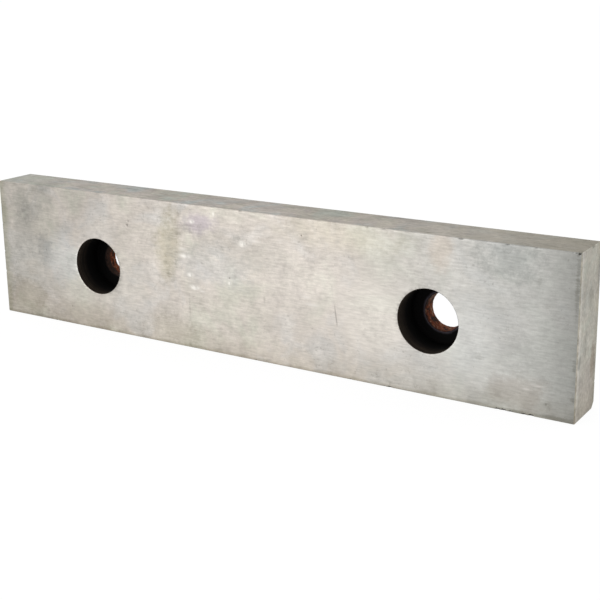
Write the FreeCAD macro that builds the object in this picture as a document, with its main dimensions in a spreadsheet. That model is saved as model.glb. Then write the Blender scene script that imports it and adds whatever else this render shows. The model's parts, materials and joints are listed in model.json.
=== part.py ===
import FreeCAD, Part
import os
import Sketcher

# A machinable soft jaw for a machine vice: one plain ground steel bar with two counterbored
# screw holes. All lengths are in millimetres.
#
# Frame: X runs along the jaw, Y through its thickness and Z up. The work face looks along -Y and
# the mounting face along +Y. The origin is below the middle of the jaw, on its bottom face.

# alias, value, what the size is
SIZES = [
    ("jaw_length", 200.0, "length of the bar, end to end"),
    ("jaw_height", 45.0, "height of the bar"),
    ("jaw_thickness", 14.5, "from the work face to the mounting face"),
    ("screw_spacing", 116.5, "between the axes of the two screw holes"),
    ("screw_height", 21.0, "screw axes above the bottom face"),
    ("clearance_diameter", 11.0, "hole for the shank of an M10 screw"),
    ("counterbore_diameter", 18.0, "recess for the head of an M10 cap screw"),
    ("counterbore_depth", 9.7, "recess depth, measured from the work face"),
    ("seat_chamfer", 1.6, "legs of the chamfer on the rear bottom edge"),
    ("edge_break", 0.3, "legs of the small chamfer on the other edges"),
]

PART_NAME = "soft_jaw"
EDGE_TOLERANCE = 1e-4


def make_sheet(doc):
    """Put the driving dimensions into a spreadsheet, one alias a row."""
    sheet = doc.addObject("Spreadsheet::Sheet", "sizes")
    for row, (alias, value, note) in enumerate(SIZES, start=1):
        sheet.set("A%d" % row, note)
        sheet.set("B%d" % row, str(value))
        sheet.setAlias("B%d" % row, alias)
    doc.recompute()
    return sheet


def origin_plane(body, role):
    """The body's own origin plane of that role, such as XZ_Plane."""
    return next(feature for feature in body.Origin.OriginFeatures if feature.Role == role)


def add_sketch(body, name, role):
    """An empty sketch on one of the body's origin planes."""
    sketch = body.newObject("Sketcher::SketchObject", name)
    sketch.AttachmentSupport = [(origin_plane(body, role), "")]
    sketch.MapMode = "FlatFace"
    return sketch


def bind(sketch, constraint, expression):
    """Give a sketch dimension its name and drive it from the spreadsheet."""
    index = sketch.addConstraint(constraint)
    sketch.renameConstraint(index, "size_%d" % index)
    sketch.setExpression("Constraints.size_%d" % index, expression)


def add_section(body, sheet):
    """Cross-section of the bar on the YZ plane: a rectangle with its rear bottom corner cut off."""
    sketch = add_sketch(body, "bar_section", "YZ_Plane")
    half = sheet.jaw_thickness / 2
    height = sheet.jaw_height
    cut = sheet.seat_chamfer
    corners = [(-half, 0), (half - cut, 0), (half, cut), (half, height), (-half, height)]
    points = [FreeCAD.Vector(x, y, 0) for x, y in corners]
    for start, end in zip(points, points[1:] + points[:1]):
        sketch.addGeometry(Part.LineSegment(start, end), False)
    bottom, chamfer, rear, top, front = range(5)
    sides = [bottom, chamfer, rear, top, front]
    for side, following in zip(sides, sides[1:] + sides[:1]):
        sketch.addConstraint(Sketcher.Constraint("Coincident", side, 2, following, 1))
    horizontal_axis, vertical_axis = -1, -2
    sketch.addConstraint(Sketcher.Constraint("Horizontal", bottom))
    sketch.addConstraint(Sketcher.Constraint("PointOnObject", bottom, 1, horizontal_axis))
    sketch.addConstraint(Sketcher.Constraint("Vertical", rear))
    sketch.addConstraint(Sketcher.Constraint("Vertical", front))
    # the bar is centred on the vertical axis, which also keeps its top level
    sketch.addConstraint(Sketcher.Constraint("Symmetric", top, 1, top, 2, vertical_axis))
    bind(sketch, Sketcher.Constraint("DistanceX", top, 2, top, 1, 2 * half), "sizes.jaw_thickness")
    bind(sketch, Sketcher.Constraint("DistanceY", front, 2, front, 1, height), "sizes.jaw_height")
    bind(sketch, Sketcher.Constraint("DistanceX", chamfer, 1, chamfer, 2, cut), "sizes.seat_chamfer")
    bind(sketch, Sketcher.Constraint("DistanceY", chamfer, 1, chamfer, 2, cut), "sizes.seat_chamfer")
    return sketch


def add_bar(body, section):
    """The section extruded to both sides of its plane."""
    bar = body.newObject("PartDesign::Pad", "bar")
    bar.Profile = section
    bar.SideType = "Symmetric"
    bar.setExpression("Length", "sizes.jaw_length")
    section.Visibility = False
    return bar


def edges_to_break(bar, sheet):
    """Names of the bar's edges, apart from the two long ones beside the rear chamfer."""
    half = sheet.jaw_thickness / 2
    cut = sheet.seat_chamfer
    kept_sharp = [(half - cut, 0), (half, cut)]

    def is_kept(edge):
        ends = [vertex.Point for vertex in edge.Vertexes]
        along = abs(ends[0].x - ends[1].x) > EDGE_TOLERANCE
        beside = any(
            abs(ends[0].y - y) < EDGE_TOLERANCE and abs(ends[0].z - z) < EDGE_TOLERANCE
            for y, z in kept_sharp
        )
        return along and beside

    edges = bar.Shape.Edges
    return ["Edge%d" % number for number, edge in enumerate(edges, start=1) if not is_kept(edge)]


def add_edge_break(doc, body, bar, sheet):
    """A light chamfer where the grinder left the edges safe to handle."""
    doc.recompute()
    edge_break = body.newObject("PartDesign::Chamfer", "broken_edges")
    edge_break.Base = (bar, edges_to_break(bar, sheet))
    edge_break.setExpression("Size", "sizes.edge_break")
    return edge_break


def add_screw_centres(body, sheet):
    """Two circles on the work face, level with each other and centred along the jaw."""
    sketch = add_sketch(body, "screw_centres", "XZ_Plane")
    sketch.setExpression("AttachmentOffset.Base.z", "sizes.jaw_thickness / 2")
    reach = sheet.screw_spacing / 2
    radius = sheet.clearance_diameter / 2
    for side in (-1, 1):
        centre = FreeCAD.Vector(side * reach, sheet.screw_height, 0)
        sketch.addGeometry(Part.Circle(centre, FreeCAD.Vector(0, 0, 1), radius), False)
    # each circle's number in the sketch, with the number that stands for its centre point
    left_centre, right_centre = (0, 3), (1, 3)
    origin_point, vertical_axis = (-1, 1), -2
    sketch.addConstraint(
        Sketcher.Constraint("Symmetric", *left_centre, *right_centre, vertical_axis)
    )
    sketch.addConstraint(Sketcher.Constraint("Equal", left_centre[0], right_centre[0]))
    bind(
        sketch,
        Sketcher.Constraint("DistanceX", *left_centre, *right_centre, 2 * reach),
        "sizes.screw_spacing",
    )
    bind(
        sketch,
        Sketcher.Constraint("DistanceY", *origin_point, *left_centre, sheet.screw_height),
        "sizes.screw_height",
    )
    bind(sketch, Sketcher.Constraint("Diameter", left_centre[0], 2 * radius), "sizes.clearance_diameter")
    return sketch


def add_screw_holes(doc, body, centres):
    """Counterbored clearance holes, right through the bar from its work face."""
    doc.recompute()
    holes = body.newObject("PartDesign::Hole", "screw_holes")
    holes.Profile = centres
    doc.recompute()
    holes.Threaded = False
    holes.ThreadType = "None"
    holes.DepthType = "ThroughAll"
    holes.HoleCutType = "Counterbore"
    holes.HoleCutCustomValues = True
    holes.setExpression("Diameter", "sizes.clearance_diameter")
    holes.setExpression("HoleCutDiameter", "sizes.counterbore_diameter")
    holes.setExpression("HoleCutDepth", "sizes.counterbore_depth")
    centres.Visibility = False
    return holes


def make_jaw(doc, sheet):
    """The jaw as one body: bar, broken edges, screw holes."""
    body = doc.addObject("PartDesign::Body", PART_NAME)
    body.Label = PART_NAME
    bar = add_bar(body, add_section(body, sheet))
    add_edge_break(doc, body, bar, sheet)
    add_screw_holes(doc, body, add_screw_centres(body, sheet))
    body.Placement = FreeCAD.Placement()
    doc.recompute()
    return body


def check_document(doc):
    """Stop if any object of the document failed."""
    for item in doc.Objects:
        if "Invalid" in item.State or "Error" in item.State:
            raise RuntimeError("%s failed: %s" % (item.Name, item.State))


def check_jaw(body):
    """Stop unless the jaw is one valid solid and every cutting feature has cut something."""
    shape = body.Shape
    if shape.isNull() or not shape.isValid() or len(shape.Solids) != 1:
        raise RuntimeError("%s isn't one valid solid" % body.Label)
    features = [item for item in body.Group if item.isDerivedFrom("PartDesign::Feature")]
    for before, after in zip(features, features[1:]):
        if after.Shape.Volume >= before.Shape.Volume:
            raise RuntimeError("%s cut nothing" % after.Name)


def main():
    doc = FreeCAD.newDocument("machinable_soft_jaw")
    sheet = make_sheet(doc)
    jaw = make_jaw(doc, sheet)
    check_document(doc)
    check_jaw(jaw)
    os.makedirs("parts", exist_ok=True)
    jaw.Shape.exportStep("parts/%s.step" % jaw.Label)
    box = jaw.Shape.BoundBox
    print("%s: %.2f x %.2f x %.2f mm" % (jaw.Label, box.XLength, box.YLength, box.ZLength))
    print("volume %.1f mm3" % jaw.Shape.Volume)


main()
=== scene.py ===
import json
import math
import random

import bmesh
import bpy
import numpy as np
from mathutils import Matrix, Vector, noise
from mathutils.geometry import delaunay_2d_cdt


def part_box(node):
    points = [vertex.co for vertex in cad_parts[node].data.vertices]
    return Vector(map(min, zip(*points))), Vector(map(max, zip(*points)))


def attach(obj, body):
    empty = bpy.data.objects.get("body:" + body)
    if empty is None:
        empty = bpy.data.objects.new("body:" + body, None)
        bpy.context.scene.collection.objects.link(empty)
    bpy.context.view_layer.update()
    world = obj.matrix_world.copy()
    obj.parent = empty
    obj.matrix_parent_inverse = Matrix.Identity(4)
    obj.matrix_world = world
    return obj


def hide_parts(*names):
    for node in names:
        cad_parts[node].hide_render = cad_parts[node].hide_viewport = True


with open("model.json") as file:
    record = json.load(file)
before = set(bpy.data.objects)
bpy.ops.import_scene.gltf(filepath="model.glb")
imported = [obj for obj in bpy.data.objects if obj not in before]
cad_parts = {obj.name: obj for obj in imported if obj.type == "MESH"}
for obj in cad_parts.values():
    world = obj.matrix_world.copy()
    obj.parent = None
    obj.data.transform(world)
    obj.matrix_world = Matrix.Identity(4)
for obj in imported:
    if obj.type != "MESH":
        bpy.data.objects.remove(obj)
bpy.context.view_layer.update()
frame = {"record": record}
mm = 0.001


def hexColour(code):
    # sRGB hex to the linear values Blender works in
    channels = [int(code[i:i + 2], 16) / 255 for i in (1, 3, 5)]
    linear = [c / 12.92 if c <= 0.04045 else ((c + 0.055) / 1.055) ** 2.4 for c in channels]
    return (*linear, 1.0)


def addNode(tree, kind, attributes=None, inputs=None):
    # a node with its settings; an input given a socket is linked to it
    node = tree.nodes.new(kind)
    for name, value in (attributes or {}).items():
        setattr(node, name, value)
    for name, value in (inputs or {}).items():
        if isinstance(value, bpy.types.NodeSocket):
            tree.links.new(value, node.inputs[name])
        else:
            node.inputs[name].default_value = value
    return node


# settings that many nodes share
smooth = {"interpolation_type": "SMOOTHSTEP"}
ofColours = {"data_type": "RGBA"}
darkening = {"data_type": "RGBA", "blend_type": "MULTIPLY"}
scaleAndAdd = {"operation": "MULTIPLY_ADD"}


def fillRamp(ramp, stops):
    while len(ramp.elements) < len(stops):
        ramp.elements.new(0.5)
    for element, (position, shade) in zip(ramp.elements, stops):
        element.position, element.color = position, hexColour(shade)


def newMaterial(name):
    material = bpy.data.materials.new(name)
    material.use_nodes = True
    material.node_tree.nodes.clear()
    return material, material.node_tree


def objectPlace(tree):
    # the place on the object in millimetres, whole and split into its axes
    place = addNode(tree, "ShaderNodeTexCoord").outputs["Object"]
    inMm = addNode(tree, "ShaderNodeMapping", {}, {"Vector": place, "Scale": (1 / mm,) * 3}).outputs["Vector"]
    return inMm, addNode(tree, "ShaderNodeSeparateXYZ", {}, {0: inMm}).outputs


def smoothStep(low, high, value):
    t = np.clip((value - low) / (high - low), 0, 1)
    return t * t * (3 - 2 * t)


# the jaw's shape, in millimetres until it is scaled at the end
jaw = {
    "seatChamfer": 1.6,       # cut along the rear bottom edge
    "edgeRadius": 0.3,        # light break on the other edges
    "chamferRadius": 0.12,    # where the chamfer meets its neighbours
    "mouthBreak": 0.12,       # at the rims of the screw holes
    "mouthRound": 0.3,        # where the middle of that break lies, as a part of it
    "roundSteps": 3,          # facets round an edge
    "fullRound": 60,          # degrees; an edge that turns less has one facet
    "ringPoints": 144,        # mesh points round a hole
    "edgeSpacing": 1.0,       # between points along the edges
    "faceSpacing": 1.6,       # over the flat faces
    "recessStep": 0.45,       # along a recess wall and its floor
    "shankStep": 0.27,        # and along a shank wall
    "edgeGap": 0.07,          # points on an edge come no closer than this
    "faceGap": 0.04,          # nor do those on a face
    "edgeMargin": 0.06,       # clear strip inside the outline of a face
    "holeMargin": 0.25,       # and round a hole
    "spreadStart": 0.6,       # a face's own points start this many spacings in
    "spreadEnd": 0.4,         # and end this many before its far side
    "spreadJitter": 0.15,     # how far each one strays, in spacings
    "spotMargin": 0.3,        # between them and the finer points of a spot, in the spot's own spacing
    "joinDistance": 0.002,    # points closer than this are made one
    "wallTolerance": 0.01,    # points this near the shank wall belong to it
    "squareOn": 0.9,          # a normal with this much of an axis looks along it
    "leaning": 0.7,           # and the chamfer, with this much of it, still counts as the bottom
    "sharpAngle": 50,         # degrees; flatter edges are shaded smooth
}

tiny = 1e-5  # mm; closer than this counts as touching
hexRow = 0.866  # between the rows of an even spread of points, in spacings

lowCorner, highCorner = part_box("soft_jaw")
length, thickness, height = [(high - low) / mm for low, high in zip(lowCorner, highCorner)]
front, rear = -thickness / 2, thickness / 2
mounts = {mount["name"]: mount for mount in frame["record"]["mounts"]}


def holeFromMounts(side):
    recess, shank = mounts[side + "_counterbore"], mounts[side + "_clearance_hole"]
    return {
        "x": recess["pos_m"][0] / mm,
        "z": recess["pos_m"][2] / mm,
        "recessRadius": recess["dims"]["r_mm"],
        "recessDepth": recess["dims"]["length_mm"],
        "shankRadius": shank["dims"]["r_mm"],
    }


holes = [holeFromMounts("left"), holeFromMounts("right")]

wear = {
    "dentReach": 1.6,         # the mesh is finer this far round a dent or pit, in its radii
    "dentPoints": 4,          # points along that radius
    "dentRim": 1.5,           # a higher power makes a dent's rim softer
    "scratchReach": 3.5,      # the mesh is finer this far round a scratch, in its half widths
    "scratchStep": 0.6,       # between its points
    "scratchSpots": 3,        # and between the places that are made finer
    "chipStep": 0.14,         # between points in a bitten edge
    "chipCore": 0.35,         # part of a bite's reach that is cut to its full depth
    "chipRoughness": 0.18,    # how much the cut swings
    "chipWaves": (9, 7, 11),  # how often, along x, y and z
    "nickMargins": (3, 2, 3),  # kept clear at the ends of an edge along x, y and z
    "nickReach": (0.5, 0.9),
    "nickBite": (0.18, 0.32),
    "skin": (0.02, 0.2),      # marks of the work face fade out between these depths
    "pitDirt": (0.1, 0.5),    # part of a pit's depth where its dirt starts and is full
    "scratchDirt": (0.01, 0.06),  # the same for a scratch and a chip, by depth
    "chipDirt": (0.03, 0.12),
    "inScratches": 0.5,       # how dark the dirt in a scratch is
    "inLowerChips": 0.95,     # in the chips of the bottom edge
    "inUpperChips": 0.4,
}
rustCrust = {
    "thickness": (0.32, 0.14),          # on the left and on the right shank wall
    "evenPart": 0.6,
    "lumps": [(0.8, 0.5), (2.3, 0.5)],  # how many to the mm, and how far each size swings
    "start": (0.3, 1.6),                # it begins and is full this deep below the recess floor
}

# marks that years of handling left: x and z on the work face in mm, radius, depth
dents = [
    (-1.8, 35.1, 0.9, 0.10), (-20.2, 39.8, 0.6, 0.06), (-21.2, 23.2, 0.7, 0.06),
    (-19.7, 19.4, 0.9, 0.07), (-6.8, 22.6, 0.6, 0.06), (-23.2, 28.8, 1.3, 0.07),
]
pits = [  # these also say how dark the dirt in them is
    (-45.5, 35.9, 0.60, 0.15, 0.30), (-45.0, 37.3, 0.45, 0.10, 0.22), (-6.7, 24.1, 0.30, 0.12, 0.30),
    (18.6, 40.0, 0.32, 0.12, 0.35), (-80.7, 23.8, 0.38, 0.12, 0.30), (99.2, 44.7, 0.45, 0.30, 0.90),
    (98.5, 44.9, 0.32, 0.18, 0.60), (97.6, 44.9, 0.25, 0.12, 0.35), (92.4, 4.1, 0.45, 0.08, 0.15),
]
scratches = [  # from, to, half width, depth
    ((29.3, 21.4), (30.2, 14.9), 0.15, 0.045),
    ((28.4, 27.3), (29.2, 21.3), 0.10, 0.02),
    ((88.1, 8.3), (92.1, 9.0), 0.12, 0.02),
]
# bites out of the edges: place, outward direction, reach, how far the cut goes in
chips = [
    ((length / 2 - 0.4, front, height + 0.1), (0.3, -1.0, 0.8), 1.3, 0.46),
    ((-2.4, front, height), (0, -1, 1), 1.0, 0.26),
    ((67.5, front, height), (0, -1, 1), 1.2, 0.30),
    ((79.0, front, 0), (0, -1, -0.7), 1.1, 0.34),
    ((80.7, front, 0), (0, -1, -0.7), 1.2, 0.36),
    ((82.7, front, 0), (0, -1, -0.7), 1.0, 0.28),
    ((86.4, front, 0), (0, -1, -0.7), 1.0, 0.30),
    ((88.3, front, 0), (0, -1, -0.7), 1.2, 0.40),
    ((47.0, front, 0), (0, -1, -0.7), 1.0, 0.34),
]
# how many small bites, the edge they sit on, with None for the way it runs, and outward direction
edgeNicks = [
    (10, (None, front, 0), (0, -1, -1)),
    (5, (None, front, height), (0, -1, 1)),
    (4, (length / 2, front, None), (1, -1, 0)),
    (3, (-length / 2, front, None), (-1, -1, 0)),
    (4, (None, rear, height), (0, 1, 1)),
    (3, (length / 2, rear, None), (1, 1, 0)),
    (3, (length / 2, None, height), (1, 0, 1)),
]


def scatterNicks(dice):
    ranges = [(-length / 2, length / 2), (front, rear), (0, height)]
    spans = [(low + clear, high - clear) for (low, high), clear in zip(ranges, wear["nickMargins"])]
    found = []
    for count, edge, outward in edgeNicks:
        for i in range(count):
            place = tuple(dice.uniform(*span) if fixed is None else fixed for fixed, span in zip(edge, spans))
            found.append((place, outward, dice.uniform(*wear["nickReach"]), dice.uniform(*wear["nickBite"])))
    return found


chips += scatterNicks(random.Random(19))

workFace, sideFace, endFace, recessWall, shankWall = range(5)


class MeshBook:
    # collects points and faces; points that coincide are joined at the end
    def __init__(self):
        self.points, self.faces, self.materials = [], [], []

    def add(self, points, faces, material):
        start = len(self.points)
        self.points.extend(points)
        self.faces.extend([tuple(start + i for i in face) for face in faces])
        self.materials.extend([material] * len(faces))

    def addGrid(self, rows, material):
        # rows of points, joined by quads
        columns = len(rows[0])
        faces = []
        for i in range(len(rows) - 1):
            for j in range(columns - 1):
                a = i * columns + j
                faces.append((a, a + 1, a + columns + 1, a + columns))
        self.add([p for row in rows for p in row], faces, material)


def refineSpots():
    # where the mesh is finer: place in mm, reach, spacing
    found = [((x, front, z), wear["dentReach"] * radius, radius / wear["dentPoints"])
             for x, z, radius, *rest in dents + pits]
    for (x0, z0), (x1, z1), halfWidth, depth in scratches:
        steps = int(math.hypot(x1 - x0, z1 - z0) / (wear["scratchSpots"] * halfWidth)) + 1
        for i in range(steps + 1):
            x, z = x0 + (x1 - x0) * i / steps, z0 + (z1 - z0) * i / steps
            found.append(((x, front, z), wear["scratchReach"] * halfWidth, wear["scratchStep"] * halfWidth))
    found += [(place, reach, wear["chipStep"]) for place, outward, reach, bite in chips]
    return found


spots = refineSpots()


def stations(start, end, spacing, edges):
    # where to put points along parallel edges, closer together near the spots
    count = max(2, round((end - start) / spacing))
    marks = set(np.linspace(start, end, count + 1))
    for place, reach, fine in spots:
        samples = np.arange(start, end, fine)
        for toPoint in edges:
            away = np.linalg.norm(np.array([toPoint(value) for value in samples]) - place, axis=1)
            marks.update(samples[away < reach])
    ordered = sorted(marks)
    kept = [ordered[0]]
    for value in ordered[1:]:
        if value - kept[-1] > jaw["edgeGap"]:
            kept.append(value)
    kept[-1] = end
    return kept


def sectionCorners():
    # the bar's section in (y, z), anticlockwise seen from +X, with each corner's radius
    cut, radius, small = jaw["seatChamfer"], jaw["edgeRadius"], jaw["chamferRadius"]
    return [
        ((front, 0), radius), ((rear - cut, 0), small), ((rear, cut), small),
        ((rear, height), radius), ((front, height), radius),
    ]


def sectionPieces():
    # arcs and flats of the section: corner centres, normals and radii
    corners = sectionCorners()
    points = [np.array(point, float) for point, radius in corners]
    count = len(points)
    normals = []
    for i in range(count):
        along = points[(i + 1) % count] - points[i]
        along /= np.linalg.norm(along)
        normals.append(np.array([along[1], -along[0]]))
    arcs = []
    for i in range(count):
        before, after, radius = normals[i - 1], normals[i], corners[i][1]
        inward = (before + after) / (1 + before @ after)
        turn = math.acos(np.clip(before @ after, -1, 1))
        steps = jaw["roundSteps"] if turn > math.radians(jaw["fullRound"]) else 1
        arc = []
        for k in range(steps + 1):
            part = k / steps
            normal = math.sin((1 - part) * turn) * before + math.sin(part * turn) * after
            arc.append(normal / math.sin(turn))
        arcs.append((points[i], inward, radius, arc))
    return arcs, normals


def onArc(arc, step, inset=0.0):
    # a point of a rounded corner, moved in from the outside; small radii shrink to a point
    point, inward, radius, normals = arc
    reach = max(radius, inset)
    return point - reach * inward + (reach - inset) * normals[step]


def triangulate(outline, rings, inner):
    # Delaunay triangles inside an outline, leaving the round holes open
    points = [Vector(p) for p in outline]
    edges = [(i, (i + 1) % len(outline)) for i in range(len(outline))]
    for ring in rings:
        start = len(points)
        points += [Vector(p) for p in ring["points"]]
        edges += [(start + i, start + (i + 1) % len(ring["points"])) for i in range(len(ring["points"]))]
    points += [Vector(p) for p in inner]
    result = delaunay_2d_cdt(points, edges, [], 1, tiny)
    found, faces = result[0], result[2]
    kept = []
    for face in faces:
        centre = sum((found[i] for i in face), Vector((0, 0))) / len(face)
        if all((centre - Vector(ring["centre"])).length > ring["inside"] for ring in rings):
            kept.append(face)
    return found, kept


def innerPoints(outline, rings, toPoint, spacing, dice):
    # a loose hexagonal spread over the face, with finer discs at the spots
    corners = np.array(outline)
    low, high = corners.min(axis=0), corners.max(axis=0)
    loose = []
    row = 0
    first, last, jitter = jaw["spreadStart"], jaw["spreadEnd"], jaw["spreadJitter"]
    v = low[1] + spacing * first
    while v < high[1] - spacing * last:
        u = low[0] + spacing * (first + 0.5 * (row % 2))
        while u < high[0] - spacing * last:
            moveU, moveV = dice.uniform(-jitter, jitter), dice.uniform(-jitter, jitter)
            loose.append((u + moveU * spacing, v + moveV * spacing))
            u += spacing
        v += spacing * hexRow
        row += 1
    loose = np.array(loose)
    fine = []
    origin = np.array(toPoint(0.0, 0.0))
    axisU, axisV = np.array(toPoint(1.0, 0.0)) - origin, np.array(toPoint(0.0, 1.0)) - origin
    for place, reach, step in spots:
        offset = np.array(place) - origin
        centre = np.array([offset @ axisU, offset @ axisV])
        lift = np.linalg.norm(offset - centre[0] * axisU - centre[1] * axisV)
        if lift > reach:
            continue
        steps = int(reach / step) + 1
        for i in range(-steps, steps + 1):
            for j in range(-steps, steps + 1):
                shift = np.array([(i + 0.5 * (j % 2)) * step, j * hexRow * step])
                if shift @ shift < reach * reach:
                    fine.append(centre + shift)
        away = np.hypot(*(loose - centre).T)
        loose = loose[away > reach + jaw["spotMargin"] * step]
    inside = []
    margin = jaw["edgeMargin"]
    for point in list(loose) + fine:
        clear = all(math.dist(point, ring["centre"]) > ring["radius"] + jaw["holeMargin"] for ring in rings)
        if clear and (point > low + margin).all() and (point < high - margin).all():
            inside.append(tuple(point))
    return inside


def withoutCrowding(points, gap):
    # drops points that lie almost on top of an earlier one
    seen, kept = set(), []
    for point in points:
        cell = (round(point[0] / gap), round(point[1] / gap))
        if cell not in seen:
            seen.add(cell)
            kept.append(point)
    return kept


def addFlat(book, outline, rings, toPoint, spacing, material, dice):
    inner = withoutCrowding(innerPoints(outline, rings, toPoint, spacing, dice), jaw["faceGap"])
    found, faces = triangulate(outline, rings, inner)
    book.add([toPoint(p.x, p.y) for p in found], faces, material)


def circle(hole, radius):
    count = jaw["ringPoints"]
    angles = [2 * math.pi * i / count for i in range(count)]
    return [(hole["x"] + radius * math.cos(a), hole["z"] + radius * math.sin(a)) for a in angles]


def faceRings(radiusName):
    rings = []
    for hole in holes:
        radius = hole[radiusName] + jaw["mouthBreak"]
        rings.append({
            "points": circle(hole, radius), "centre": (hole["x"], hole["z"]),
            "radius": radius, "inside": radius * math.cos(math.pi / jaw["ringPoints"]) - tiny,
        })
    return rings


def addBar(book, dice):
    # five long faces with rounded edges between them, and the two ends
    arcs, normals = sectionPieces()
    square = jaw["squareOn"]
    endX = length / 2 - jaw["edgeRadius"]
    longEdges = [lambda x, corner=corner: (x, *corner) for corner, arcRadius in sectionCorners()]
    along = stations(-endX, endX, jaw["edgeSpacing"], longEdges)
    loop = []  # the whole section; each entry gives its place for an inset
    count = len(arcs)
    for i in range(count):
        arc, nextArc, normal = arcs[i], arcs[(i + 1) % count], normals[i]
        steps = range(len(arc[3]))
        rows = [[(x, *onArc(arc, k)) for x in along] for k in steps]
        upright = max(abs(normals[i][0]), abs(normals[i - 1][0])) > square
        book.addGrid(rows, workFace if upright else sideFace)
        loop += [lambda inset, arc=arc, k=k: onArc(arc, k, inset) for k in steps]
        start, end = onArc(arc, -1), onArc(nextArc, 0)
        run = np.linalg.norm(end - start)
        direction = (end - start) / run
        toPoint = lambda u, v, start=start, direction=direction: (u, *(start + direction * v))
        endEdges = [lambda v, x=x: toPoint(x, v) for x in (-length / 2, length / 2)]
        across = stations(0.0, run, jaw["edgeSpacing"], endEdges)
        # both ends share the same stations
        outline = [(x, 0.0) for x in along] + [(endX, v) for v in across[1:-1]]
        outline += [(x, run) for x in reversed(along)] + [(-endX, v) for v in reversed(across[1:-1])]
        rings = []
        if normal[0] < -square:
            # this face runs from the top down, so v is measured from its upper edge
            rings = faceRings("recessRadius")
        if normal[0] > square:
            rings = faceRings("shankRadius")
        for ring in rings:
            ring["points"] = [(x, (z - start[1]) * direction[1]) for x, z in ring["points"]]
            ring["centre"] = (ring["centre"][0], (ring["centre"][1] - start[1]) * direction[1])
        addFlat(book, outline, rings, toPoint, jaw["faceSpacing"],
                workFace if abs(normal[0]) > square else sideFace, dice)
        for v in across[1:-1]:
            loop.append(lambda inset, arc=arc, nextArc=nextArc, part=v / run:
                        onArc(arc, -1, inset) * (1 - part) + onArc(nextArc, 0, inset) * part)
    addEnds(book, loop, endX, dice)


def addEnds(book, loop, endX, dice):
    radius, steps = jaw["edgeRadius"], jaw["roundSteps"]
    for side in (-1, 1):
        rows = []
        for k in range(steps + 1):
            turn = math.pi / 2 * k / steps
            x = side * (endX + radius * math.sin(turn))
            inset = radius * (1 - math.cos(turn))
            rows.append([(x, *place(inset)) for place in loop + loop[:1]])
        book.addGrid(rows, endFace)
        outline = []
        for x, y, z in rows[-1][:-1]:
            if not outline or math.dist(outline[-1], (y, z)) > tiny:
                outline.append((y, z))
        if math.dist(outline[0], outline[-1]) < tiny:
            outline.pop()
        endPlane = side * length / 2
        toPoint = lambda u, v: (endPlane, u, v)
        addFlat(book, outline, [], toPoint, jaw["faceSpacing"], endFace, dice)


def wallRows(start, end, step):
    count = max(1, round(abs(end - start) / step))
    return [start + (end - start) * i / count for i in range(1, count + 1)]


def addHole(book, hole):
    # recess, its flat floor and the shank hole, turned about the screw's axis
    small = jaw["mouthBreak"]
    middle = jaw["mouthRound"] * small
    floor = front + hole["recessDepth"]
    recess, shank = hole["recessRadius"], hole["shankRadius"]
    profile = [(recess + small, front), (recess + middle, front + middle), (recess, front + small)]
    profile += [(recess, y) for y in wallRows(front + small, floor, jaw["recessStep"])]
    recessRows = len(profile)
    profile += [(r, floor) for r in wallRows(recess, shank + small, jaw["recessStep"])]
    floorRows = len(profile)
    profile += [(shank + middle, floor + middle), (shank, floor + small)]
    profile += [(shank, y) for y in wallRows(floor + small, rear - small, jaw["shankStep"])]
    profile += [(shank + middle, rear - middle), (shank + small, rear)]
    count = jaw["ringPoints"]
    angles = [2 * math.pi * i / count for i in range(count + 1)]
    rows = []
    for r, y in profile:
        rows.append([(hole["x"] + r * math.cos(a), y, hole["z"] + r * math.sin(a)) for a in angles])
    book.addGrid(rows[:recessRows], recessWall)
    book.addGrid(rows[recessRows - 1:floorRows], recessWall)
    book.addGrid(rows[floorRows - 1:], shankWall)


def pushFront(points):
    # dents, pits and scratches: how far each point is pushed into the work face, and its dirt
    pushed, dirt = np.zeros(len(points)), np.zeros(len(points))
    shallow, deep = wear["skin"]
    onFront = smoothStep(front + deep, front + shallow, points[:, 1])
    for x, z, radius, depth, dark in [(*dent, 0.0) for dent in dents] + pits:
        q = np.hypot(points[:, 0] - x, points[:, 2] - z) / radius
        push = onFront * np.clip(1 - q * q, 0, 1) ** wear["dentRim"]
        pushed += depth * push
        dirt = np.maximum(dirt, dark * smoothStep(*wear["pitDirt"], push))
    for (x0, z0), (x1, z1), halfWidth, depth in scratches:
        a, b = np.array([x0, z0]), np.array([x1, z1])
        flat = points[:, [0, 2]] - a
        part = np.clip(flat @ (b - a) / ((b - a) @ (b - a)), 0, 1)
        away = np.linalg.norm(flat - part[:, None] * (b - a), axis=1)
        fade = np.sqrt(np.clip(4 * part * (1 - part), 0, 1))
        push = onFront * fade * np.exp(-(away / halfWidth) ** 2)
        pushed += depth * push
        dirt = np.maximum(dirt, push * smoothStep(*wear["scratchDirt"], depth) * wear["inScratches"])
    return pushed, dirt


def addRust(points, moved):
    # rust stands in lumps on the shank walls, apart from where they leave the recess
    for hole, thickness in zip(holes, rustCrust["thickness"]):
        side = points[:, [0, 2]] - (hole["x"], hole["z"])
        away = np.linalg.norm(side, axis=1)
        for i in np.flatnonzero(away < hole["shankRadius"] + jaw["wallTolerance"]):
            depth = points[i, 1] - front - hole["recessDepth"]
            lump = rustCrust["evenPart"]
            for perMm, swing in rustCrust["lumps"]:
                lump += swing * noise.noise(Vector(points[i]) * perMm)
            grown = thickness * max(lump, 0) * smoothStep(*rustCrust["start"], depth)
            moved[i, [0, 2]] -= side[i] / away[i] * grown


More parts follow.
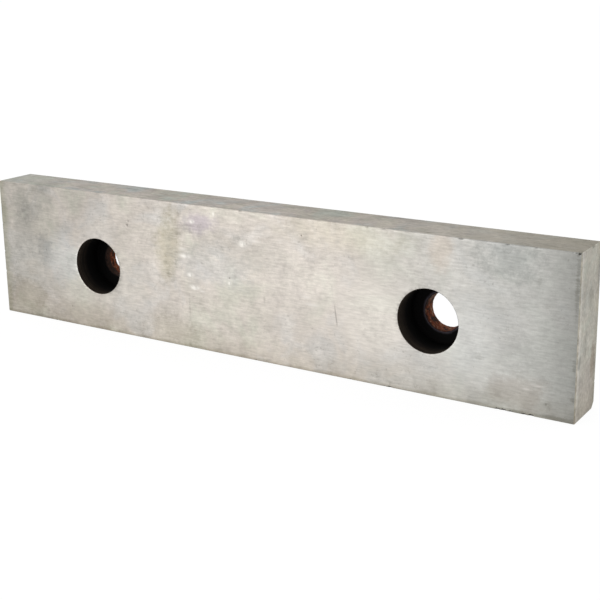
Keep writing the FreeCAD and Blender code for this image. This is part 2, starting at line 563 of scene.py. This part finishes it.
def biteEdges(points, moved, dirt):
    # cuts each chip flat across its edge, with a torn surface
    waveX, waveY, waveZ = wear["chipWaves"]
    for place, outward, reach, bite in chips:
        outward = np.array(outward, float)
        outward /= np.linalg.norm(outward)
        offset = points - np.array(place)
        away = np.linalg.norm(offset, axis=1)
        torn = np.sin(offset[:, 0] * waveX + 1) * np.sin(offset[:, 2] * waveZ + offset[:, 1] * waveY)
        cut = bite * (1 + wear["chipRoughness"] * torn) * smoothStep(reach, reach * wear["chipCore"], away)
        over = np.where(away < reach, np.clip(offset @ outward + cut, 0, None), 0)
        moved -= over[:, None] * outward
        dark = wear["inLowerChips"] if place[2] == 0 else wear["inUpperChips"]
        dirt = np.maximum(dirt, smoothStep(*wear["chipDirt"], over) * dark)
    return dirt


def markSurface(points):
    # pushes the marks into the metal; also says how deep the dirt sits
    moved = points.copy()
    pushed, dirt = pushFront(points)
    moved[:, 1] += pushed
    addRust(points, moved)
    return moved, biteEdges(points, moved, dirt)


def addLineDirections(mesh):
    # flat UVs in metres whose U runs across the grinding lines, the way light spreads on them
    layer = mesh.uv_layers.new(name="grindLines")
    for face in mesh.polygons:
        upEnd = face.material_index == endFace
        flatOn = abs(face.normal.z) > jaw["leaning"]
        for corner in face.loop_indices:
            x, y, z = mesh.vertices[mesh.loops[corner].vertex_index].co
            layer.data[corner].uv = (y, z) if upEnd else (y, x) if flatOn else (z, x)


def buildJaw():
    dice = random.Random(7)
    book = MeshBook()
    addBar(book, dice)
    for hole in holes:
        addHole(book, hole)
    mesh = bpy.data.meshes.new("softJawBody")
    mesh.from_pydata(book.points, [], book.faces)
    mesh.polygons.foreach_set("material_index", book.materials)
    work = bmesh.new()
    work.from_mesh(mesh)
    bmesh.ops.remove_doubles(work, verts=work.verts, dist=jaw["joinDistance"])
    bmesh.ops.dissolve_degenerate(work, edges=work.edges, dist=tiny)
    bmesh.ops.recalc_face_normals(work, faces=work.faces)
    openEdges = [edge for edge in work.edges if len(edge.link_faces) != 2]
    print("jaw mesh:", len(work.verts), "points,", len(work.faces), "faces, open edges:", len(openEdges))
    work.to_mesh(mesh)
    work.free()
    points = np.zeros(len(mesh.vertices) * 3)
    mesh.vertices.foreach_get("co", points)
    points, dirt = markSurface(points.reshape(-1, 3))
    mesh.vertices.foreach_set("co", (points * mm).ravel())
    mesh.attributes.new("dirt", "FLOAT", "POINT").data.foreach_set("value", dirt)
    mesh.polygons.foreach_set("use_smooth", [True] * len(mesh.polygons))
    addLineDirections(mesh)
    mesh.update()
    piece = bpy.data.objects.new("softJawBody", mesh)
    bpy.context.scene.collection.objects.link(piece)
    mesh.set_sharp_from_angle(angle=math.radians(jaw["sharpAngle"]))
    weighted = piece.modifiers.new("evenFaces", "WEIGHTED_NORMAL")
    weighted.keep_sharp = True
    weighted.weight = 100
    return piece


markDepth = 2.0  # mm that a stain, painted patch or spot reaches into the steel, so that it stays on its own face
# how far noise tears the edge of a stain or painted patch and of a spot,
# and where each is full and gone, in half sizes
patchEdge = {"cloud": 1.6, "fine": 1.2, "full": 1.8, "gone": 2.75}
spotEdge = {"grain": 1.6, "full": 1.6, "gone": 2.9}


def groundSteel(name, look):
    # mild steel, surface ground and then handled: a satin grey with fine lines along the
    # wheel's travel, thin oil tints, darker bands partly of painted shade, and painted glints and sheen
    material, tree = newMaterial(name)
    inMm, axes = objectPlace(tree)
    along = addNode(tree, "ShaderNodeMapping", {}, {"Vector": inMm, "Scale": look["lines"]}).outputs["Vector"]
    lines = addNode(tree, "ShaderNodeTexNoise", {}, {
        "Vector": along, "Scale": 1.0, "Detail": 3.0, "Roughness": 0.65})
    fine = addNode(tree, "ShaderNodeTexNoise", {}, {
        "Vector": inMm, "Scale": look["fineScale"], "Detail": 4.0, "Roughness": 0.7})
    cloud = addNode(tree, "ShaderNodeTexNoise", {}, {
        "Vector": inMm, "Scale": look["cloudScale"], "Detail": 4.0, "Roughness": 0.6})
    hue = addNode(tree, "ShaderNodeTexNoise", {}, {
        "Vector": inMm, "Scale": look["hueScale"], "Detail": 3.0, "Roughness": 0.6, "Distortion": 0.6})

    # thin oil tints over the steel, and a cooler grey towards the right end
    cooler = addNode(tree, "ShaderNodeMapRange", smooth, {
        "Value": axes["X"], "From Min": look["coolFrom"], "From Max": look["coolFull"],
        "To Max": look["coolAmount"]})
    tint = addNode(tree, "ShaderNodeValToRGB", {}, {0: hue.outputs["Fac"]})
    fillRamp(tint.color_ramp, look["tints"])
    colour = addNode(tree, "ShaderNodeMix", ofColours, {
        0: cooler.outputs["Result"], 6: tint.outputs["Color"], 7: hexColour(look["cool"])}).outputs[2]

    # stains, and on the work face painted sheen and painted shade, each with a ragged edge
    for across, up, wide, high, tilt, shade, amount in look["marks"]:
        local = addNode(tree, "ShaderNodeMapping", {"vector_type": "TEXTURE"}, {
            "Vector": inMm, "Location": (length / 2, across, up) if look["onEnd"] else (across, front, up),
            "Rotation": (0, math.radians(tilt), 0),
            "Scale": (markDepth, wide, high) if look["onEnd"] else (wide, markDepth, high)}).outputs["Vector"]
        away = addNode(tree, "ShaderNodeVectorMath", {"operation": "LENGTH"}, {0: local}).outputs["Value"]
        torn = addNode(tree, "ShaderNodeMath", scaleAndAdd, {
            0: cloud.outputs["Fac"], 1: patchEdge["cloud"], 2: away}).outputs[0]
        torn = addNode(tree, "ShaderNodeMath", scaleAndAdd, {
            0: fine.outputs["Fac"], 1: patchEdge["fine"], 2: torn}).outputs[0]
        mask = addNode(tree, "ShaderNodeMapRange", smooth, {
            "Value": torn, "From Min": patchEdge["gone"], "From Max": patchEdge["full"], "To Max": amount})
        colour = addNode(tree, "ShaderNodeMix", ofColours, {
            0: mask.outputs["Result"], 6: colour, 7: hexColour(shade)}).outputs[2]

    # three sizes of light and dark added into one level
    level = 1.0
    for grain, depth in ((lines, look["lineDepth"]), (fine, look["fineDepth"]), (cloud, look["cloudDepth"])):
        swing = addNode(tree, "ShaderNodeMapRange", {"clamp": False}, {
            "Value": grain.outputs["Fac"], "From Min": 0.35, "From Max": 0.65,
            "To Min": -depth, "To Max": depth})
        level = addNode(tree, "ShaderNodeMath", {"operation": "ADD"}, {
            0: swing.outputs["Result"], 1: level}).outputs[0]
    # the right end is calmer
    calm = addNode(tree, "ShaderNodeMath", {"operation": "MULTIPLY"}, {
        0: cooler.outputs["Result"], 1: look["calm"]})
    level = addNode(tree, "ShaderNodeMix", {}, {0: calm.outputs[0], 2: level, 3: 1.0}).outputs[0]
    colour = addNode(tree, "ShaderNodeMix", darkening, {
        0: 1.0, 6: colour, 7: level}).outputs[2]

    # darker bands along the listed axes, broken up by the clouds; those marked in the lists are painted shade
    for axis, clear, full, ragged, amount, shade in look["bands"]:
        broken = addNode(tree, "ShaderNodeMath", scaleAndAdd, {
            0: cloud.outputs["Fac"], 1: ragged, 2: axes[axis]}).outputs[0]
        shift = 0.5 * ragged
        mask = addNode(tree, "ShaderNodeMapRange", smooth, {
            "Value": broken, "From Min": clear + shift, "From Max": full + shift, "To Max": amount})
        colour = addNode(tree, "ShaderNodeMix", darkening, {
            0: mask.outputs["Result"], 6: colour, 7: hexColour(shade)}).outputs[2]

    # small dark specks where oil has dried in the grain, more of them in some patches
    grains = addNode(tree, "ShaderNodeTexNoise", {}, {
        "Vector": inMm, "Scale": look["speckScale"], "Detail": 3.0, "Roughness": 0.6, "Distortion": 0.4})
    where = addNode(tree, "ShaderNodeMath", scaleAndAdd, {
        0: hue.outputs["Fac"], 1: look["speckPatches"], 2: grains.outputs["Fac"]}).outputs[0]
    specks = addNode(tree, "ShaderNodeMapRange", smooth, {
        "Value": where, "From Min": 0.80, "From Max": 0.92, "To Max": look["specks"]})
    colour = addNode(tree, "ShaderNodeMix", darkening, {
        0: specks.outputs["Result"], 6: colour, 7: hexColour(look["speckColour"])}).outputs[2]

    # spots: painted glints where something hard has touched the face, dull where a finger or oil has
    for x, z, wide, high, shade, amount in look["spots"]:
        local = addNode(tree, "ShaderNodeMapping", {"vector_type": "TEXTURE"}, {
            "Vector": inMm, "Location": (x, front, z), "Scale": (wide, markDepth, high)}).outputs["Vector"]
        away = addNode(tree, "ShaderNodeVectorMath", {"operation": "LENGTH"}, {0: local}).outputs["Value"]
        for grain in (lines, fine):
            away = addNode(tree, "ShaderNodeMath", scaleAndAdd, {
                0: grain.outputs["Fac"], 1: spotEdge["grain"], 2: away}).outputs[0]
        mask = addNode(tree, "ShaderNodeMapRange", smooth, {
            "Value": away, "From Min": spotEdge["gone"], "From Max": spotEdge["full"], "To Max": amount})
        colour = addNode(tree, "ShaderNodeMix", ofColours, {
            0: mask.outputs["Result"], 6: colour, 7: hexColour(shade)}).outputs[2]

    # dirt packed into the pits and nicks
    packed = addNode(tree, "ShaderNodeAttribute", {"attribute_name": "dirt"}).outputs["Fac"]
    packed = addNode(tree, "ShaderNodeMath", {"operation": "MULTIPLY"}, {0: packed, 1: look["dirtAmount"]})
    colour = addNode(tree, "ShaderNodeMix", ofColours, {
        0: packed.outputs[0], 6: colour, 7: hexColour(look["dirtColour"])}).outputs[2]

    rough = addNode(tree, "ShaderNodeMapRange", {}, {
        "Value": lines.outputs["Fac"], "From Min": 0.3, "From Max": 0.7,
        "To Min": look["roughness"] + look["roughSwing"], "To Max": look["roughness"] - look["roughSwing"]})
    bump = addNode(tree, "ShaderNodeBump", {}, {
        "Strength": 0.3, "Distance": look["lineHeight"] * mm, "Height": lines.outputs["Fac"]})
    tangent = addNode(tree, "ShaderNodeTangent", {"direction_type": "UV_MAP", "uv_map": "grindLines"})
    steel = addNode(tree, "ShaderNodeBsdfPrincipled", {}, {
        "Base Color": colour, "Metallic": 1.0, "Roughness": rough.outputs["Result"],
        "Anisotropic": look["anisotropic"], "Normal": bump.outputs["Normal"], "Tangent": tangent.outputs[0]})
    addNode(tree, "ShaderNodeOutputMaterial", {}, {"Surface": steel.outputs["BSDF"]})
    return material


# stains on the work face, and patches of painted sheen and painted shade:
# x, z, half width and half height in mm, tilt in degrees, colour, amount
stainsAndPaintedLight = [
    (-29.8, 31.0, 5.0, 10.5, 8, "#9d9468", 0.30),
    (-17.5, 39.8, 7.0, 3.4, -15, "#a99fa8", 0.56),
    (-24.5, 36.5, 5.5, 1.8, -30, "#8f8a80", 0.32),
    (-12.0, 26.5, 15.0, 6.0, 0, "#babec0", 0.25),
    # painted shade: tones down the key light's sheen
    (-3.0, 31.5, 24.0, 5.5, 0, "#a8a49c", 0.28),
    # painted sheen, this and the next two: lighter where the key light's sheen falls off
    (-57.0, 31.0, 6.0, 8.0, 0, "#d2cdc6", 0.38),
    (-68.0, 12.0, 8.0, 8.0, 0, "#d0ccc2", 0.35),
    (70.0, 18.0, 8.0, 12.0, 0, "#cbccca", 0.35),
    (-29.0, 5.0, 12.0, 4.5, 0, "#a19a8c", 0.34),
    (-81.5, 41.5, 5.5, 3.5, 0, "#8c8c88", 0.28),
    # painted sheen, this and the next: lighter where the key light's sheen falls off
    (-72.0, 22.0, 10.0, 8.0, 0, "#d2d4d4", 0.45),
    (-48.0, 16.0, 10.0, 10.0, 0, "#cfcdc6", 0.25),
    (-88.0, 27.0, 15.0, 22.0, 0, "#b4b6a8", 0.18),
    (-90.5, 39.5, 5.0, 4.5, 0, "#8c8c88", 0.25),
    (-85.0, 36.5, 4.5, 3.5, -20, "#90908c", 0.25),
    (-81.2, 24.0, 3.0, 6.0, 0, "#868684", 0.32),
    (-91.0, 29.0, 5.0, 7.0, 0, "#929290", 0.22),
    (-90.0, 6.5, 10.0, 6.0, 0, "#9c907c", 0.30),
    (-64.0, 4.5, 16.0, 5.0, 0, "#a69a84", 0.15),
    (30.0, 41.5, 20.0, 5.0, 0, "#c0b69c", 0.20),
    # a pinkish tint that is also painted sheen, and below it painted sheen: they widen the key light's
    # highlight
    (22.0, 27.0, 18.0, 13.0, 0, "#cdc6bf", 0.35),
    (43.0, 19.0, 12.0, 11.0, 0, "#d4cec6", 0.50),
    (84.0, 6.0, 9.0, 5.0, 0, "#a79c92", 0.35),
    (81.0, 41.0, 8.0, 5.0, 0, "#8d908d", 0.50),
    (62.0, 41.0, 3.5, 6.0, 0, "#c0b0a0", 0.35),
]
paintedGlints = [  # painted highlights on the dents: x, z, half width, half height in mm
    (-20.2, 39.8, 1.3, 0.8), (-1.8, 35.2, 1.5, 1.1), (-23.3, 28.8, 2.5, 0.8), (-21.2, 23.2, 1.4, 0.7),
    (-19.7, 19.4, 2.3, 0.8), (-6.8, 22.7, 0.8, 0.7), (-12.0, 43.0, 0.5, 1.0),
]
fainterPaintedGlints = [  # fainter streaks of painted highlight
    (22.0, 20.2, 2.8, 0.6), (20.0, 22.2, 1.6, 0.5), (89.6, 8.6, 2.4, 0.4), (86.8, 7.2, 1.8, 0.4),
    (-17.0, 18.6, 1.2, 0.4), (3.0, 36.4, 2.4, 0.5), (-24.0, 31.0, 1.6, 0.6),
]
dulled = [  # and how strongly
    (-18.0, 38.6, 1.6, 0.7, 0.35), (-29.6, 22.9, 0.9, 1.6, 0.32), (-30.6, 26.2, 0.9, 0.9, 0.28),
    (-26.6, 26.4, 0.7, 2.0, 0.32), (-26.0, 35.6, 1.6, 0.7, 0.30), (-20.6, 36.6, 1.2, 0.6, 0.28),
    (-24.8, 41.4, 0.8, 1.4, 0.26), (-33.6, 34.4, 1.0, 1.6, 0.20), (-9.0, 32.5, 0.9, 0.8, 0.35),
    (5.6, 19.3, 0.4, 1.3, 0.25), (-21.9, 12.8, 0.35, 5.0, 0.25),
    (99.1, 36.0, 0.6, 9.0, 0.50), (99.3, 6.6, 0.8, 1.2, 0.50), (92.6, 3.8, 1.4, 1.0, 0.50),
    (99.2, 15.5, 0.6, 2.0, 0.40), (73.4, 13.5, 1.4, 1.2, 0.24), (91.6, 29.8, 1.5, 0.8, 0.30),
    (89.3, 36.6, 0.5, 1.8, 0.18), (47.0, 1.6, 1.4, 0.8, 0.45), (-3.0, 36.5, 2.2, 0.5, 0.30),
    (84.0, 0.5, 5.5, 0.5, 0.60), (95.0, 0.9, 4.6, 0.7, 0.62), (-84.0, 0.6, 8.0, 0.5, 0.35),
]

workSteel = {
    "tints": [(0.36, "#bab7ac"), (0.46, "#bcb6ad"), (0.54, "#bdb6ae"), (0.66, "#bab6b1")],
    "hueScale": 0.06,  # scales are repeats to the mm, so a tinted patch is about 17 mm wide
    # cooler and calmer towards the right end, between these places along the jaw
    "cool": "#b1b2af", "coolFrom": 20.0, "coolFull": 85.0, "coolAmount": 0.75, "calm": 0.25,
    # grinding lines about 0.5 mm apart, drawn coarser than the wheel's grit so that they show
    "lines": (0.30, 2.1, 2.1), "lineDepth": 0.076, "lineHeight": 0.01,
    # a mottle about 1 mm across, and handled clouds about 8 mm across
    "fineScale": 0.9, "fineDepth": 0.064, "cloudScale": 0.13, "cloudDepth": 0.09,
    "specks": 0.22, "speckScale": 1.3, "speckPatches": 0.35, "speckColour": "#6f6a58",
    "dirtAmount": 0.85, "dirtColour": "#2b2822",
    "roughness": 0.38, "roughSwing": 0.04, "anisotropic": 0.97, "onEnd": False,
    "bands": [  # axis, where it is clear and where full, how ragged its edge is, amount, colour
        # painted shade: darker towards the right end, where the key light's sheen falls off
        ("X", 86.0, 104.0, 8.0, 0.9, "#d2d3d2"),
        # painted shade: darker towards the bottom
        ("Z", 10.0, 0.5, 8.0, 0.5, "#e2dfd7"),
        ("X", -96.0, -99.5, 4.0, 0.5, "#cfd5c0"),
        ("Z", 1.4, 0.3, 2.0, 0.5, "#c2beb0"),
    ],
    "marks": stainsAndPaintedLight,
    # painted glints in two strengths, then dull smudges
    "spots": [(*spot, "#e8e5de", 0.66) for spot in paintedGlints] + [(*spot, "#dedad4", 0.4) for spot in fainterPaintedGlints]
             + [(*spot, "#77756c", amount) for *spot, amount in dulled],
}
sideSteel = dict(
    workSteel, cool="#a09b90", roughness=0.45, anisotropic=0.6, marks=[], spots=[],
    tints=[(0.36, "#9fa197"), (0.46, "#a39d91"), (0.54, "#a49c94"), (0.66, "#9ea19d")],
    hueScale=0.075, lineDepth=0.19, fineDepth=0.125, cloudDepth=0.12,
    bands=[
        ("X", 60.0, 104.0, 20.0, 0.9, "#e1e0da"),
        ("X", -70.0, -98.0, 16.0, 0.9, "#f5ffff"),
        ("Y", 0.0, 6.0, 3.0, 0.6, "#f2f2f0"),
    ])
endSteel = dict(
    workSteel, cool="#c4c1b8", lines=(1.7, 1.7, 0.6), roughness=0.45, anisotropic=0.6, spots=[], onEnd=True,
    tints=[(0.36, "#b6bcb2"), (0.46, "#bfb7ab"), (0.54, "#beb4ad"), (0.66, "#b4b8b7")],
    hueScale=0.16, lineDepth=0.14, fineDepth=0.13, cloudDepth=0.15,
    bands=[
        # painted shade over the rounded front edge, so that it shows no highlight
        ("Y", -6.9, -7.2, 0.3, 0.8, "#d6d3c9"),
        ("Y", -6.6, -4.9, 0.8, 0.7, "#dfdfda"),
        ("Y", 3.0, 7.0, 3.0, 0.7, "#e4e1d8"),
        ("Z", 10.0, 0.5, 6.0, 0.7, "#ddd9d2"),
    ],
    marks=[
        (1.0, 7.0, 7.0, 8.0, 0, "#bab0a8", 0.50),
        (4.2, 14.0, 2.0, 4.5, 0, "#8f7d6a", 0.55),
        (1.0, 31.0, 2.2, 3.5, 0, "#96948a", 0.40),
        (-2.0, 20.0, 1.8, 4.0, 0, "#98968c", 0.40),
        (-5.8, 16.5, 1.2, 2.2, 0, "#7f8078", 0.50),
        (6.2, 38.0, 1.0, 6.0, 0, "#8b8a92", 0.45),
    ])


boreLook = {
    "ringPitch": 0.35,       # mm between the drill's turning marks
    "ringStretch": 0.04,     # how often they change to the mm along the other axes
    "scalePatches": 0.5,     # patches of scale to the mm
    "mouthDepth": 5.0,       # dust and light brown near the mouth; below it painted shade turns the scale black
    "brownDust": "#17120f", "paleDust": "#453b31", "oldOil": "#040303",
    "wornRing": 0.9,         # a paler ring round the right hole's shank, on the recess floor
    "wornSteel": "#4a444b",
    "bloomScale": 0.6,       # patches of rust to the mm
    "rust": [(0.33, "#1c1512"), (0.43, "#44291b"), (0.51, "#76391d"), (0.58, "#7c4527"), (0.66, "#8d7a66")],
    "dryTop": (0.5, 5.0),    # paler rust begins and is full this far above the axis
    "dryRust": "#7d6a58",
    # depths below the recess floor where a finish is still full, and where it is gone
    "cleanEntry": (2.6, 3.5),  # a dark brown band in the left hole only
    "entryGrime": (0.6, 1.9),  # painted shade where the shank wall meets the recess floor
    "raggedEntry": 1.5,      # the bloom takes up to this much off both
    "rubbedSteel": "#2f2520", "grime": "#0d0a09",
}


def scaledSteel():
    # the drilled recess keeps its black scale, with painted shade deeper in: almost no light comes back
    material, tree = newMaterial("drilledScale")
    inMm, axes = objectPlace(tree)
    # painted shade: from the dusty colour at the mouth to black with depth
    deep = addNode(tree, "ShaderNodeMapRange", {}, {
        "Value": axes["Y"], "From Min": front, "From Max": front + boreLook["mouthDepth"]})
    patch = addNode(tree, "ShaderNodeTexNoise", {}, {
        "Vector": inMm, "Scale": boreLook["scalePatches"], "Detail": 4.0, "Roughness": 0.65})
    dry = addNode(tree, "ShaderNodeMix", ofColours, {
        0: patch.outputs["Fac"], 6: hexColour(boreLook["brownDust"]), 7: hexColour(boreLook["paleDust"])})
    stretch = boreLook["ringStretch"]
    turned = addNode(tree, "ShaderNodeMapping", {}, {
        "Vector": inMm, "Scale": (stretch, 1 / boreLook["ringPitch"], stretch)}).outputs["Vector"]
    rings = addNode(tree, "ShaderNodeTexNoise", {}, {"Vector": turned, "Scale": 1.0, "Detail": 1.0})
    ringLevel = addNode(tree, "ShaderNodeMapRange", {}, {
        "Value": rings.outputs["Fac"], "From Min": 0.35, "From Max": 0.65, "To Min": 0.55, "To Max": 1.5})
    dry = addNode(tree, "ShaderNodeMix", darkening, {
        0: 1.0, 6: dry.outputs[2], 7: ringLevel.outputs["Result"]})
    colour = addNode(tree, "ShaderNodeMix", ofColours, {
        0: deep.outputs["Result"], 6: dry.outputs[2], 7: hexColour(boreLook["oldOil"])})

    # the ring round the right-hand hole, on the recess floor only
    right = holes[1]
    fromAxis = addNode(tree, "ShaderNodeMapping", {"vector_type": "TEXTURE"}, {
        "Vector": inMm, "Location": (right["x"], front + right["recessDepth"], right["z"])}).outputs["Vector"]
    away = addNode(tree, "ShaderNodeVectorMath", {"operation": "LENGTH"}, {0: fromAxis}).outputs["Value"]
    away = addNode(tree, "ShaderNodeMath", {"operation": "ADD"}, {
        0: away, 1: patch.outputs["Fac"]}).outputs[0]
    # the patches add half a millimetre on average
    edge = right["shankRadius"] + 0.5
    paleRing = addNode(tree, "ShaderNodeMapRange", smooth, {
        "Value": away, "From Min": edge + boreLook["wornRing"], "From Max": edge, "To Max": 0.9})
    colour = addNode(tree, "ShaderNodeMix", ofColours, {
        0: paleRing.outputs["Result"], 6: colour.outputs[2], 7: hexColour(boreLook["wornSteel"])})
    surface = addNode(tree, "ShaderNodeBsdfPrincipled", {}, {
        "Base Color": colour.outputs[2], "Roughness": 0.75, "Specular IOR Level": 0.12})
    addNode(tree, "ShaderNodeOutputMaterial", {}, {"Surface": surface.outputs["BSDF"]})
    return material


def rustedBore():
    # bare drilled steel that has rusted: orange bloom over brown, dry and matt
    material, tree = newMaterial("rustedBore")
    inMm, axes = objectPlace(tree)
    bloom = addNode(tree, "ShaderNodeTexNoise", {}, {
        "Vector": inMm, "Scale": boreLook["bloomScale"], "Detail": 4.0, "Roughness": 0.65, "Distortion": 0.6})
    rust = addNode(tree, "ShaderNodeValToRGB", {}, {0: bloom.outputs["Fac"]})
    fillRamp(rust.color_ramp, boreLook["rust"])
    low, high = [holes[0]["z"] + rise for rise in boreLook["dryTop"]]
    dryTop = addNode(tree, "ShaderNodeMapRange", smooth, {
        "Value": axes["Z"], "From Min": low, "From Max": high, "To Max": 0.6})
    pale = addNode(tree, "ShaderNodeMix", ofColours, {
        0: dryTop.outputs["Result"], 6: rust.outputs["Color"], 7: hexColour(boreLook["dryRust"])})
    entry = front + holes[0]["recessDepth"]
    depth = addNode(tree, "ShaderNodeMath", scaleAndAdd, {
        0: bloom.outputs["Fac"], 1: boreLook["raggedEntry"], 2: axes["Y"]}).outputs[0]
    full, gone = [entry + below for below in boreLook["cleanEntry"]]
    leftBand = addNode(tree, "ShaderNodeMapRange", smooth, {
        "Value": depth, "From Min": gone, "From Max": full, "To Max": 0.85})
    leftOnly = addNode(tree, "ShaderNodeMath", {"operation": "LESS_THAN"}, {0: axes["X"], 1: 0.0}).outputs[0]
    leftBand = addNode(tree, "ShaderNodeMath", {"operation": "MULTIPLY"}, {
        0: leftBand.outputs["Result"], 1: leftOnly})
    colour = addNode(tree, "ShaderNodeMix", ofColours, {
        0: leftBand.outputs[0], 6: pale.outputs[2], 7: hexColour(boreLook["rubbedSteel"])})
    full, gone = [entry + below for below in boreLook["entryGrime"]]
    # painted shade: darker where the shank wall meets the recess floor
    grime = addNode(tree, "ShaderNodeMapRange", smooth, {
        "Value": depth, "From Min": gone, "From Max": full, "To Max": 0.8})
    colour = addNode(tree, "ShaderNodeMix", ofColours, {
        0: grime.outputs["Result"], 6: colour.outputs[2], 7: hexColour(boreLook["grime"])})
    surface = addNode(tree, "ShaderNodeBsdfPrincipled", {}, {
        "Base Color": colour.outputs[2], "Roughness": 0.85, "Specular IOR Level": 0.2})
    addNode(tree, "ShaderNodeOutputMaterial", {}, {"Surface": surface.outputs["BSDF"]})
    return material


stage = {
    "floorSize": 6.0,          # metres
    "worldLight": 0.9,         # soft light from all round
    "white": "#ffffff",
    "paper": "#ededed",        # as it lights the jaw
    "shadowPaper": "#595959",  # as it is seen: only as much of it as lets a shadow show
    "paperGlow": 0.925,        # and the rest made up with an even glow
}


def seenDirectly(tree):
    # 1 for the rays that should meet a white background
    rays = addNode(tree, "ShaderNodeLightPath").outputs
    either = addNode(tree, "ShaderNodeMath", {"operation": "MAXIMUM"}, {
        0: rays["Is Camera Ray"], 1: rays["Is Glossy Ray"]}).outputs[0]
    return addNode(tree, "ShaderNodeMath", {"operation": "MAXIMUM"}, {
        0: either, 1: rays["Is Transmission Ray"]}).outputs[0]


def makeWorld():
    world = bpy.data.worlds.new("studio")
    bpy.context.scene.world = world
    world.use_nodes = True
    tree = world.node_tree
    tree.nodes.clear()
    strength = addNode(tree, "ShaderNodeMapRange", {}, {
        "Value": seenDirectly(tree), "To Min": stage["worldLight"], "To Max": 1.0})
    sky = addNode(tree, "ShaderNodeBackground", {}, {
        "Color": hexColour(stage["white"]), "Strength": strength.outputs["Result"]})
    addNode(tree, "ShaderNodeOutputWorld", {}, {"Surface": sky.outputs["Background"]})


def makeFloor():
    half = stage["floorSize"] / 2
    mesh = bpy.data.meshes.new("floor")
    corners = [(-half, -half, 0), (half, -half, 0), (half, half, 0), (-half, half, 0)]
    mesh.from_pydata(corners, [], [(0, 1, 2, 3)])
    floor = bpy.data.objects.new("floor", mesh)
    bpy.context.scene.collection.objects.link(floor)
    material, tree = newMaterial("whitePaper")
    # white paper under the jaw: it bounces light like paper, and looks evenly lit apart from the shadow
    lit = addNode(tree, "ShaderNodeBsdfDiffuse", {}, {"Color": hexColour(stage["paper"])})
    shade = addNode(tree, "ShaderNodeBsdfDiffuse", {}, {"Color": hexColour(stage["shadowPaper"])})
    glow = addNode(tree, "ShaderNodeEmission", {}, {
        "Color": hexColour(stage["white"]), "Strength": stage["paperGlow"]})
    shown = addNode(tree, "ShaderNodeAddShader", {}, {0: shade.outputs[0], 1: glow.outputs[0]})
    both = addNode(tree, "ShaderNodeMixShader", {}, {
        0: seenDirectly(tree), 1: lit.outputs[0], 2: shown.outputs[0]})
    addNode(tree, "ShaderNodeOutputMaterial", {}, {"Surface": both.outputs[0]})
    mesh.materials.append(material)


softbox = {  # metres and watts
    "place": (-0.240, -0.45, 0.12), "aim": (0.005, 0, 0.022), "size": (0.31, 0.30), "power": 0.56,
}


def makeSoftbox():
    data = bpy.data.lights.new("keySoftbox", "AREA")
    data.shape = "RECTANGLE"
    data.size, data.size_y = softbox["size"]
    data.energy = softbox["power"]
    light = bpy.data.objects.new("keySoftbox", data)
    bpy.context.scene.collection.objects.link(light)
    light.location = softbox["place"]
    aim = Vector(softbox["aim"]) - light.location
    light.rotation_euler = aim.to_track_quat("-Z", "Y").to_euler()


camera = {
    "place": (192.40, -280.72, 117.04),  # mm
    "azimuth": 32.52, "elevation": 14.745, "roll": -0.78,  # degrees
    "lens": 71.11, "sensor": 36.0,  # mm
    "shift": -0.06,
}


def makeCamera():
    data = bpy.data.cameras.new("camera")
    data.lens = camera["lens"]
    data.sensor_width = camera["sensor"]
    data.shift_y = camera["shift"]
    view = bpy.data.objects.new("camera", data)
    bpy.context.scene.collection.objects.link(view)
    turn = Matrix.Rotation(math.radians(camera["azimuth"]), 4, "Z")
    tilt = Matrix.Rotation(math.radians(90 - camera["elevation"]), 4, "X")
    roll = Matrix.Rotation(math.radians(camera["roll"]), 4, "Z")
    view.matrix_world = Matrix.Translation(Vector(camera["place"]) * mm) @ turn @ tilt @ roll
    bpy.context.scene.camera = view


bpy.context.scene.view_settings.view_transform = "Standard"
makeWorld()
makeFloor()
makeSoftbox()
makeCamera()
print("stage ready")

body = buildJaw()
for material in (groundSteel("groundSteel", workSteel), groundSteel("groundSteelSides", sideSteel),
                 groundSteel("groundSteelEnds", endSteel), scaledSteel(), rustedBore()):
    body.data.materials.append(material)
print("materials ready")
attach(body, "root")
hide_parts("soft_jaw")
print("jaw ready")
